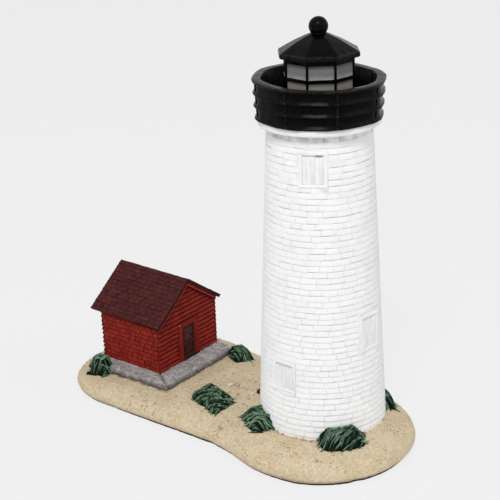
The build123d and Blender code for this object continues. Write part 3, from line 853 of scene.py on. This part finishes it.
def gallery():
    """The parapet's three lipped rails under a flat rim of worn paint, with a painted reflection
    strengthening its grey at the sides, its corner posts, and the deck inside.
    """
    sides, post_half, knob_half = 320, 0.4, 0.35
    post_proud, knob_proud = 0.45 * rail_lip, rail_lip + 0.15
    floor, rim = gallery_low[2], gallery_high[2]
    rim_foot = floor + rail_count * rail_height

    def face(height):
        """Apothem of the parapet's wall over the lips; the wall leans out to the rim."""
        return gallery_apothem - rail_lip - parapet_flare * (rim - height) / (rim - floor)

    shape = Shape()
    profile = []
    for foot in floor + rail_height * np.arange(rail_count):
        lip = ((0.4, 0.0), (0.85, 0.08), (1.0, 0.25), (0.97, 0.45), (0.8, 0.65), (0.15, 1.5), (0.0, 1.75))
        profile += [(face(foot + rise) + rail_lip * out, foot + rise, 0.05) for out, rise in lip]
        profile.append((face(foot + rail_height), foot + rail_height - 0.1, 0.0))
    profile += [
        (gallery_apothem - 0.15, rim_foot, 0.0),
        (gallery_apothem, rim_foot + 0.3, 0.1),
        (gallery_apothem, rim - 0.25, 0.15),
        (gallery_apothem - 0.35, rim + 0.05, 0.45),
        (parapet_bore + 1.7, rim + 0.1, 0.25),
        (parapet_bore + 0.3, rim + 0.05, 0.4),
        (parapet_bore, rim - 0.3, 0.1),
        (parapet_bore, deck_top - 1.0, 0.0),
        (parapet_bore, floor, 0.0),
    ]
    lathe(shape, profile, sides, parapet_plan, True, rim_height)
    # The parapet's grey is strengthened towards its sides and weakened at the front, as a painted reflection
    # over its worn paint.
    turns = np.linspace(0, 2 * math.pi, sides, endpoint=False)
    side_sheen = 0.3 + 0.7 * np.abs(np.sin(turns - math.radians(rim_sheen_bearing)))
    shape.paint[0] = shape.paint[0] * np.tile(side_sheen, len(profile))
    for corner in range(8):
        bearing = gallery_facing + facet / 2 + facet * corner
        turn = np.radians(bearing)
        out = heading(bearing)
        swing = float(parapet_plan(turn))
        head = float(rim_height(turn, rim_foot)) - floor
        lean = out * parapet_flare / (rim - floor)
        foot = out * face(floor) * swing + floor * UP
        place = flat(foot, np.array([-out[1], out[0], 0]), UP + lean)
        span = (-post_half, post_half)
        block(shape, place, span, (0.1, head), -1.0, post_proud, 0.3, 2, (0.0, 0.0, 0.1))
        for rail in range(rail_count):
            level = float(rim_height(turn, floor + rail * rail_height + lip_middle)) - floor
            rise = (level - knob_half, level + knob_half)
            # Knobs at the rails' ends, their fronts painted grey as painted highlights.
            block(shape, place, (-knob_half, knob_half), rise, -0.5, knob_proud, 0.3, 2, (0.0, 0.2, 0.5))
    shape.roughen(0.1, 3.0, 61)
    piece("parapet", shape, "black_paint", "gallery_parapet")
    floor_low, floor_high = box("gallery_deck")
    deck = Shape()
    reach = floor_high[0]
    rings = [(reach * share, floor_high[2], 0.1) for share in (1.0, 0.9, 0.75, 0.65)]
    lathe(deck, [(reach, floor_low[2], 0.0)] + rings, 120)
    deck.roughen(0.08, 2.0, 62)
    piece("gallery_floor", deck, "black_paint", "gallery_deck")


def lantern():
    """The lantern's panes, painted grey, in a black cage of bars over a black sill."""
    columns, rows = 7, 7
    pane_depth, pane_bulge, pane_back = 0.55, 0.15, 1.6
    half_bar = lantern_bar / 2
    dark = (0.0, 0.0, 0.0)
    low, high = box("lantern_frame")
    core = Shape()
    cage = Shape()
    half_side = lantern_apothem * math.tan(math.pi / 8)
    full = (-half_side, half_side)
    bars = [(pane_rows[0][0] - lantern_bar, pane_rows[0][0])]
    bars += [(below, above) for (_, below), (above, _) in zip(pane_rows[:-1], pane_rows[1:])]
    bars += [(pane_rows[-1][1], high[2])]
    for side in range(8):
        bearing = lantern_facing + facet * side
        out = heading(bearing)
        place = flat(out * lantern_apothem, np.array([-out[1], out[0], 0]), UP)
        for bottom, head in pane_rows:
            spots = [
                (u, v)
                for v in np.linspace(bottom - 0.1, head + 0.1, rows)
                for u in np.linspace(-half_side, half_side, columns)
            ]
            bulge = [pane_bulge * math.cos(math.pi * u / (2 * half_side)) for u, _ in spots]
            front = [place(u, v, swell - pane_depth) for (u, v), swell in zip(spots, bulge)]
            back = [place(u * 0.9, v, -pane_back) for u, v in spots]
            # Paint value: rises towards each pane's foot as a painted highlight, and falls below zero at its
            # top as painted shade.
            tones = [max(0.0, 1 - (v - bottom) / 1.6) - max(0.0, 1 - (head - v) / 1.3) for _, v in spots]
            slab(core, front, back, columns, tones)
        block(cage, place, full, (low[2], bars[0][0]), -2.0, -0.12, 0.2, 4, (0.0, 0.05, 0.0))
        for rise in bars:
            block(cage, place, full, rise, -1.6, 0.05, 0.2, 6, dark)
        corner = heading(bearing + facet / 2)
        spot = corner * (lantern_apothem / math.cos(math.pi / 8))
        post = flat(spot, np.array([-corner[1], corner[0], 0]), UP)
        block(cage, post, (-half_bar, half_bar), (low[2], high[2]), -1.4, 0.0, 0.25, 2, dark)
    solid = box("lantern_glazing")[1][2]
    lathe(core, [(lantern_apothem - 1.3, low[2], 0.0), (lantern_apothem - 1.3, solid, 0.0)], 32)
    cage.roughen(0.1, 1.5, 71)
    piece("lantern_panes", core, "panes", "lantern_glazing")
    piece("lantern_cage", cage, "black_paint", "lantern_frame")


def lantern_cap():
    """The eight-sided roof with a rounded eave, and the ball on its crown."""
    eave_height, crown_radius, swell = 1.9, 2.9, 0.22
    crown_drop, ball_drop = 0.5, 0.35
    hip_limit = 1.076
    crown = crown_top - crown_drop
    eave = lantern_top + eave_height
    shape = Shape()
    profile = [
        (lantern_apothem - 1.5, lantern_top - 0.5, 0.0),
        (roof_apothem - 0.4, lantern_top, 0.0),
        # Grey along the rounded eave: worn paint and a painted highlight.
        (roof_apothem, lantern_top + 0.35, 0.05),
        (roof_apothem, eave - 0.4, 0.1),
        (roof_apothem - 0.15, eave - 0.1, 0.15),
    ]
    shoulder = roof_apothem - 0.5
    for share in np.linspace(0, 1, 14):
        bow = swell * math.sin(math.pi * share)
        radius = shoulder + (crown_radius - shoulder) * share + 0.5 * bow
        profile.append((radius, eave + (crown - eave) * share + bow, 0.0))
    lathe(shape, profile, 320, eight_sided(lantern_facing, hip_limit))
    shape.roughen(0.08, 2.4, 81)
    piece("lantern_hat", shape, "black_paint", "lantern_roof")
    ball = Shape()
    radius = ball_high[0]
    neck = 2.4
    centre = ball_high[2] - radius - ball_drop
    profile = [(neck, crown - 0.6, 0.0), (neck + 0.35, crown + 0.15, 0.3), (neck + 0.2, crown + 0.35, 0.1)]
    for turn in np.linspace(-math.acos(neck / radius), math.pi / 2 - 0.03, 26):
        profile.append((radius * math.cos(turn), centre + radius * math.sin(turn), 0.04))
    lathe(ball, profile, 64)
    ball.roughen(0.05, 2.0, 82)
    piece("cap_ball", ball, "black_paint", "roof_ball")


def plinth():
    """The rough stone slab under the shed, with battered sides and mitred corners."""
    step, batter, side_drop, groove_depth, pit_depth = 0.45, 1.0, 2.6, 0.4, 0.9
    low, high = plinth_low, plinth_high
    xs, ys = (np.arange(low[axis], high[axis] + step / 2, step) for axis in (0, 1))
    x, y = (grid.ravel() for grid in np.meshgrid(xs, ys, indexing="ij"))
    from_edge = np.minimum.reduce([x - low[0], high[0] - x, y - low[1], high[1] - y])
    drop = np.maximum(0.0, 1 - from_edge / batter)
    groove = np.zeros(len(x))
    for inner_x, outer_x in ((walls_low[0], low[0]), (walls_high[0], high[0])):
        for inner_y, outer_y in ((walls_low[1], low[1]), (walls_high[1], high[1])):
            along = (x - inner_x) / (outer_x - inner_x)
            across = (y - inner_y) / (outer_y - inner_y)
            mitre = 1 - 6 * np.abs(along - across)
            groove = np.where((along > 0) & (across > 0), np.maximum(groove, mitre), groove)
    points = np.stack([x, y, high[2] - side_drop * drop**1.6 - groove_depth * groove - 0.1], axis=1)
    pits = np.clip(wobble(points, 1.3, 92) - 0.15, 0, 1)
    points[:, 2] += 0.3 * wobble(points, 2.6, 91) - pit_depth * pits
    points[:, 2] = np.minimum(points[:, 2], high[2])
    for axis in (0, 1):
        points[:, axis] += 0.45 * wobble(points, 1.6, 93 + axis) + 0.5 * wobble(points, 4.5, 95 + axis)
    under = points.copy()
    under[:, 2] = low[2] - 0.5
    shape = Shape()
    # The battered sides are painted dark as painted shade; the mitre grooves and pits are painted dark too.
    paint = np.maximum(0.8 * groove, drop**1.3) + 0.9 * pits
    slab(shape, points, under, len(ys), np.clip(paint, 0, 1))
    piece("stone_plinth", shape, "stone", "shed_plinth")


ridge_under = walls_high[2]
half_width = walls_high[1] - shed_middle
wall_foot = plinth_high[2] - 0.5
wall_top = ridge_under - half_width * math.tan(roof_pitch)


def shed():
    """The red walls: lapped boards on the gables and staggered courses on the long sides."""
    source = np.random.default_rng(101)
    inset, corner_lap = 0.3, 0.2
    brick_joint = 0.24
    shape = Shape()
    outline = [
        (walls_low[1] + inset, wall_foot),
        (walls_high[1] - inset, wall_foot),
        (walls_high[1] - inset, wall_top),
        (shed_middle, ridge_under - 0.2),
        (walls_low[1] + inset, wall_top),
    ]
    ends = (walls_low[0] + inset, walls_high[0] - inset)
    points = [(x, y, z) for x in ends for y, z in outline]
    count = len(outline)
    sides = [(i, (i + 1) % count, count + (i + 1) % count, count + i) for i in range(count)]
    # The core is painted darkest; between the gable boards it shows as painted shade under their laps, and
    # between bricks as dark joints.
    shape.add(points, sides + [tuple(range(count)), tuple(range(count, 2 * count))], 1.0)
    frame_low, frame_high = box("shed_door_frame")
    rows = math.ceil((ridge_under - wall_foot) / board_height)

    def limit(height):
        under_roof = (ridge_under - height) / math.tan(roof_pitch)
        return min(half_width + corner_lap, max(0.3, under_roof))

    for gable, facing in ((walls_high[0], 1), (walls_low[0], -1)):
        wall = flat((gable - inset * facing, shed_middle, 0), (0, facing, 0), UP)

        def place(u, v, out, wall=wall):
            return wall(np.clip(u, -limit(v), limit(v)), v, out)

        for row in range(rows):
            foot = wall_foot + row * board_height
            head = min(foot + board_height, ridge_under - 0.3)
            spans = [(-half_width - corner_lap, half_width + corner_lap)]
            if facing > 0 and foot < frame_high[2] - 0.4:
                spans = cut(spans, frame_low[1] - shed_middle + 0.2, frame_high[1] - shed_middle - 0.2)
            lap = source.uniform(0.45, 0.6)
            rise = (foot + board_gap, head)
            for span in spans:
                # Boards painted dark on their backs and edges, as painted shade in the gaps.
                block(shape, place, span, rise, -0.3, (lap, 0.1), 0.12, 24, (1.0, 0.6, 0.12))
    course_rows = round((wall_top - wall_foot) / board_height)
    length = walls_high[0] - walls_low[0]
    for wall_y, facing in ((walls_low[1], -1), (walls_high[1], 1)):
        start = walls_low[0] if facing < 0 else walls_high[0]
        wall = flat((start, wall_y - inset * facing, 0), (-facing, 0, 0), UP)
        courses = staggered(course_rows, length, wall_brick, corner_lap, 2 * brick_joint, source)
        for row, left, right in courses:
            foot = wall_foot + row * board_height
            rise = (foot + brick_joint, foot + board_height)
            front = (source.uniform(0.3, 0.55), source.uniform(0.15, 0.35))
            half = brick_joint / 2 + source.uniform(-0.1, 0.05)
            tones = (0.85, 0.3, source.uniform(0.0, 0.25))
            block(shape, wall, (left + half, right - half), rise, -0.3, front, 0.16, 2, tones)
    shape.roughen(0.14, 1.5, 102)
    piece("boarded_walls", shape, "red_boards", "shed_walls")


def shed_top():
    """The shingled roof and the boards under its gable edges."""
    source = np.random.default_rng(111)
    shingle_joint, overlap = 0.12, 1.25
    half = shingle_joint / 2
    board_depth, board_front, lip_depth, lip_front = 1.5, 1.0, 0.6, 1.3
    shape = Shape()
    run = eave_high[1] - shed_middle
    ridge = ridge_under + roof_thickness / math.cos(roof_pitch) - 0.15
    slope = run / math.cos(roof_pitch)
    length = eave_high[0] - eave_low[0]
    rows = round(slope / shingle_row)
    for facing in (-1, 1):
        start = eave_low[0] if facing < 0 else eave_high[0]
        eave = (start, shed_middle + facing * run, ridge - run * math.tan(roof_pitch))
        place = flat(eave, (-facing, 0, 0), (0, -facing * math.cos(roof_pitch), math.sin(roof_pitch)))
        # Roof board under the shingles, painted dark; it shows between them as joints and painted shade.
        block(shape, place, (0.1, length - 0.1), (0.15, slope), -roof_thickness, 0.0, 0.1, 2, (0.9, 0.9, 0.9))
        for row, left, right in staggered(rows, length, shingle_width, 0.0, 6 * half, source):
            foot = row * slope / rows
            rise = (foot + source.uniform(0.0, 0.16), min(foot + overlap * shingle_row, slope))
            front = (source.uniform(0.24, 0.38), 0.05)
            # Shingles painted dark on their backs and edges: joints, and painted shade under the laps.
            tones = (1.0, 0.65, source.uniform(0.0, 0.15))
            block(shape, place, (left + half, right - half), rise, -0.2, front, 0.1, 2, tones)
    shape.roughen(0.12, 1.5, 112)
    shape.tip()
    piece("shingled_roof", shape, "shingles", "shed_roof")
    for node, facing in (("shed_bargeboard_front", 1), ("shed_bargeboard_back", -1)):
        low, high = box(node)
        boards = Shape()
        gable = low[0] if facing > 0 else high[0]
        reach = (high[1] - shed_middle) / math.cos(roof_pitch)
        for side in (-1, 1):
            along = np.array([0, side * math.cos(roof_pitch), -math.sin(roof_pitch)])
            up = np.cross((facing, 0, 0), along)
            top = math.copysign(1.0, up[2])
            place = flat((gable, shed_middle, ridge_under), along, up)
            rise = sorted((0.0, -top * board_depth))
            block(boards, place, (0.0, reach), rise, -0.2, board_front, 0.2, 16, (0.9, 0.3, 0.0))
            # The lip's front is painted a little lighter, as a painted highlight.
            lip = sorted((-top * board_depth, top * (lip_depth - board_depth)))
            block(boards, place, (0.2, reach - 0.1), lip, -0.1, lip_front, 0.15, 16, (0.4, 0.0, -0.15))
        boards.roughen(0.1, 1.9, 113)
        boards.tip()
        piece(node + "_boards", boards, "red_boards", node)


def shed_doorway():
    """The door in the gable: a raised frame round a leaf with two sunk panels, over a dark sill."""
    source = np.random.default_rng(120)
    seat, backing, frame_proud, sill_proud, leaf_out, panel_out = 1.2, 0.6, 0.5, 0.75, 0.1, -0.1
    stile, bottom_rail, lock_rail, panel_gap, sill = 1.1, 1.8, 0.46, 0.2, 0.7
    tones = (0.9, 0.45, 0.3)
    low, high = box("shed_door_frame")
    leaf_low, leaf_high = box("shed_door")
    gable = walls_high[0]
    place = flat((gable, 0, 0), (0, 1, 0), UP)
    trim = leaf_low[1] - low[1]
    full = (low[1], high[1])
    casing = Shape()
    jambs(casing, place, full, trim, (low[2], high[2]), -seat, frame_proud, 0.25, 2, tones)
    block(casing, place, full, (high[2] - trim, high[2]), -seat, frame_proud + 0.05, 0.25, 8, tones)
    chip = np.array([gable + frame_proud, low[1] + 0.5, high[2] - 0.7])
    boulder(casing, chip, (0.3, 0.45, 0.45), source, -1.0)
    casing.roughen(0.12, 1.8, 121)
    piece("shed_door_casing", casing, "red_boards", "shed_door_frame")
    leaf = Shape()
    left, right = leaf_low[1] - 0.1, leaf_high[1] + 0.1
    foot, head = leaf_low[2], leaf_high[2] + 0.2
    middle = foot + lock_rail * (head - foot)
    block(leaf, place, (left, right), (foot, head), -seat - 0.1, -backing, 0.1, 2, (1.0, 1.0, 1.0))
    jambs(leaf, place, (left, right), stile, (foot, head), -seat, leaf_out, 0.2, 2, (1.0, 0.4, 0.0))
    rails = ((foot, foot + bottom_rail), (middle - stile / 2, middle + stile / 2), (head - stile, head))
    for rise in rails:
        block(leaf, place, (left, right), rise, -seat, leaf_out, 0.2, 2, (1.0, 0.4, -0.15))
    inside = (left + stile + panel_gap, right - stile - panel_gap)
    lower, upper = ((a[1] + panel_gap, b[0] - panel_gap) for a, b in zip(rails[:-1], rails[1:]))
    block(leaf, place, inside, lower, -1.0, panel_out, 0.3, 2, (1.0, 0.5, 0.15))
    block(leaf, place, inside, upper, -1.0, panel_out, 0.3, 2, (1.0, 0.2, -0.18))
    latch = np.array([gable + leaf_out, right - stile - 1.2, upper[0] + 2.4])
    boulder(leaf, latch, (0.3, 0.7, 0.6), source, 1.0)
    block(leaf, place, (left, high[1] + 0.2), (foot, foot + sill), -0.5, sill_proud, 0.2, 4, (1.0, 0.8, 0.6))
    leaf.roughen(0.1, 1.5, 122)
    piece("shed_door_leaf", leaf, "door_brown", "shed_door")


def stroke(shape, points, half, lift, tone):
    """A narrow three-sided ridge along five points, pointed at both ends and painted on its crest."""
    sink = 0.25
    way = points[-1] - points[0]
    side = np.array([-way[1], way[0], 0.0]) / np.hypot(*way[:2])
    rings = [points[0]]
    for spot, full in zip(points[1:-1], (0.75, 1.0, 0.7)):
        aside = half * full * side
        rings += [spot - aside - sink * UP, spot + lift * full * UP, spot + aside - sink * UP]
    rings.append(points[-1])
    faces = grid_faces(3, 3, closed=True, first=1)
    for column in range(3):
        after = (column + 1) % 3
        faces += [(0, 1 + column, 1 + after), (10, 7 + after, 7 + column)]
    shape.add(rings, faces, [0.3 * tone] + [0.0, tone, 0.0] * 3 + [0.3 * tone])


def tuft(name, place, along, size, comb, spread, stroke_length, sparse, skew=0.0, rise=0.0, leaning=False):
    """A grass tuft: a dark mound with strokes carved along the bearing comb, brushed pale on their crests."""
    length, width = size
    step, bury, side_slope = 0.4, 3.0, 0.4
    stroke_half, stroke_lift = 0.32, 0.6
    row_pitch, stroke_pitch = 0.45 * stroke_length, 0.9
    outermost, mound_share, skirt_share, squareness = 1.02, 0.92, 0.58, 8
    tuck, hidden = 1.0, 1.8
    seed = len(name)
    source = np.random.default_rng(seed)
    crest = box(name)[1][2] + rise - stroke_lift
    place = np.array(place, float)
    along, aside = heading(along)[:2], heading(along + 90 + skew)[:2]
    to_share = np.linalg.inv(np.stack([along, aside], axis=1))

    def mound(x, y):
        """Share of the way from the tuft's middle to its edge, and the mound's height there."""
        s, t = to_share @ (np.array([x, y]) - place)
        if leaning:
            t = max(0.0, math.hypot(x, y) - foot_radius + tuck) * width / (width - hidden) / 2
        share = (abs(2 * s / length) ** squareness + abs(2 * t / width) ** squareness) ** (1 / squareness)
        level = ground(x, y)
        return share, level + (crest - level) * np.clip((1 - share) / side_slope, 0, 1) ** 0.8

    shape = Shape()
    rows, columns = (round(2 * skirt_share * span / step) for span in (length, width))
    spots = []
    for s in np.linspace(-skirt_share, skirt_share, rows) * length:
        for t in np.linspace(-skirt_share, skirt_share, columns) * width:
            x, y = place + along * s + aside * t
            share, height = mound(x, y)
            spots.append((x, y, height - (0.1 if share < mound_share else 0.9)))
    spots = np.array(spots)
    spots[:, 2] += 0.25 * wobble(spots, 2.0, seed)
    slab(shape, spots, spots * (1, 1, 0) + (sand_top - bury) * UP, columns, np.zeros(len(spots)))
    way = heading(comb)[:2]
    reach = 0.6 * max(length, width)
    for row in np.arange(-reach, reach, row_pitch):
        for column in np.arange(-reach, reach, stroke_pitch):
            down = row + source.uniform(-0.5, 0.5) * row_pitch
            over = column + source.uniform(-0.4, 0.4) * stroke_pitch
            middle = place + way * down + np.array([-way[1], way[0]]) * over
            turn = heading(comb + spread * source.uniform(-1, 1))[:2]
            tone = source.uniform(0.0, 1.0) ** sparse
            half = stroke_length * source.uniform(0.35, 0.6)
            if mound(*middle)[0] > outermost:
                continue
            trail = [middle + turn * share * half for share in np.linspace(-1, 1, 5)]
            points = np.array([(*spot, mound(*spot)[1] - 0.1) for spot in trail])
            stroke(shape, points, stroke_half, stroke_lift, tone)
    piece(name + "_carving", shape, "grass", name, crease=50.0)


felt()
sand()
tower()
for number, (name, slot) in enumerate(zip(window_places, (0.75, 0.3, 0.4))):
    window(name, *window_places[name], 200 + number, slot)
tower_doorway()
cornice()
gallery()
lantern()
lantern_cap()
plinth()
shed()
shed_top()
shed_doorway()

tuft_lap = 2.8
tuft("tuft_shed_front", (-100.2, -21.2), 90.0, (9.8, 7.0), -40.0, 35.0, 3.4, 0.7, rise=1.1)
tuft("tuft_shed_back", (-56.8, 20.55), 58.0, (12.8, 8.6), 63.0, 16.0, 4.4, 0.5)
tuft("tuft_path", (-41.4, -18.0), 72.0, (19.4, 13.2), -25.0, 45.0, 2.8, 1.4, skew=17.0, rise=0.5)
for name, bearing, size, comb in (
    ("tuft_tower_shed", -33.0, (15.6, 10.2), -75.0),
    ("tuft_tower_front", 49.5, (17.6, 10.4), -10.0),
    ("tuft_tower_back", 137.0, (11.0, 7.4), 100.0),
):
    middle = heading(bearing)[:2] * (foot_radius + size[1] / 2 - tuft_lap)
    tuft(name, middle, bearing + 90, size, comb, 16.0, 4.2, 1.2, leaning=True)


def background(tree, shade, other):
    """Mixes two shaders so that what the camera, mirrors and glass see is shade."""
    path = tree.nodes.new("ShaderNodeLightPath").outputs
    share = path["Is Camera Ray"]
    for ray in ("Is Glossy Ray", "Is Transmission Ray"):
        share = add_node(tree, "Math", "Value", {0: share, 1: path[ray]}, operation="MAXIMUM")
    return add_node(tree, "MixShader", "Shader", {"Fac": share, 1: other, 2: shade})


backdrop = rgb(242, 242, 243)
ambient_light = 0.55
floor_half = 3.0
floor_glow = 0.87


def stage():
    """A pale floor under an even pale sky, both near white to the camera."""
    mesh = bpy.data.meshes.new("floor")
    corners = [(x * floor_half, y * floor_half, 0) for x, y in ((-1, -1), (1, -1), (1, 1), (-1, 1))]
    mesh.from_pydata(corners, [], [(0, 1, 2, 3)])
    floor = bpy.data.objects.new("floor", mesh)
    bpy.context.scene.collection.objects.link(floor)
    paper = bpy.data.materials.new("paper")
    paper.use_nodes = True
    tree = paper.node_tree
    tree.nodes.clear()
    matte = add_node(tree, "BsdfDiffuse", "BSDF", {"Color": rgb(236, 236, 236)})
    glow = add_node(tree, "Emission", "Emission", {"Color": backdrop})
    lit = add_node(tree, "MixShader", "Shader", {"Fac": floor_glow, 1: matte, 2: glow})
    add_node(tree, "OutputMaterial", None, {"Surface": background(tree, lit, matte)})
    mesh.materials.append(paper)

    world = bpy.data.worlds.new("sky")
    bpy.context.scene.world = world
    world.use_nodes = True
    tree = world.node_tree
    tree.nodes.clear()
    seen = add_node(tree, "Background", "Background", {"Color": backdrop})
    white = {"Color": rgb(255, 255, 255), "Strength": ambient_light}
    light = add_node(tree, "Background", "Background", white)
    add_node(tree, "OutputWorld", None, {"Surface": background(tree, seen, light)})


def softbox(name, bearing, elevation, distance, size, watts):
    """A square lamp aimed at a point low on the tower, a little towards the shed."""
    target = Vector((-0.02, 0, 0.07))
    lamp = bpy.data.lights.new(name, "AREA")
    lamp.size = size
    lamp.energy = watts
    made = bpy.data.objects.new(name, lamp)
    level = heading(bearing) * math.cos(math.radians(elevation))
    offset = Vector(level + UP * math.sin(math.radians(elevation))) * distance
    aim = offset.to_track_quat("Z", "Y").to_matrix().to_4x4()
    made.matrix_world = Matrix.Translation(target + offset) @ aim
    bpy.context.scene.collection.objects.link(made)


def camera():
    """The camera fitted to the photo, for a square picture; its place is in millimetres."""
    place = Vector((233.07, -343.34, 235.23))
    pitch, yaw, roll = (math.radians(turn) for turn in (90 - 20.776, 37.845, -1.941))
    lens = bpy.data.cameras.new("camera")
    lens.sensor_width = 36.0
    lens.lens = 84.94
    made = bpy.data.objects.new("camera", lens)
    aim = Euler((pitch, 0, yaw)).to_matrix().to_4x4()
    made.matrix_world = Matrix.Translation(place * MM) @ aim @ Matrix.Rotation(roll, 4, "Z")
    bpy.context.scene.collection.objects.link(made)
    bpy.context.scene.camera = made


stage()
softbox("key", 27.0, 52.0, 0.95, 0.24, 3.75)
softbox("fill_left", -35.0, 30.0, 1.1, 0.6, 0.85)
softbox("fill_right", 110.0, 30.0, 1.1, 0.6, 1.25)
camera()
bpy.context.scene.view_settings.view_transform = "Standard"
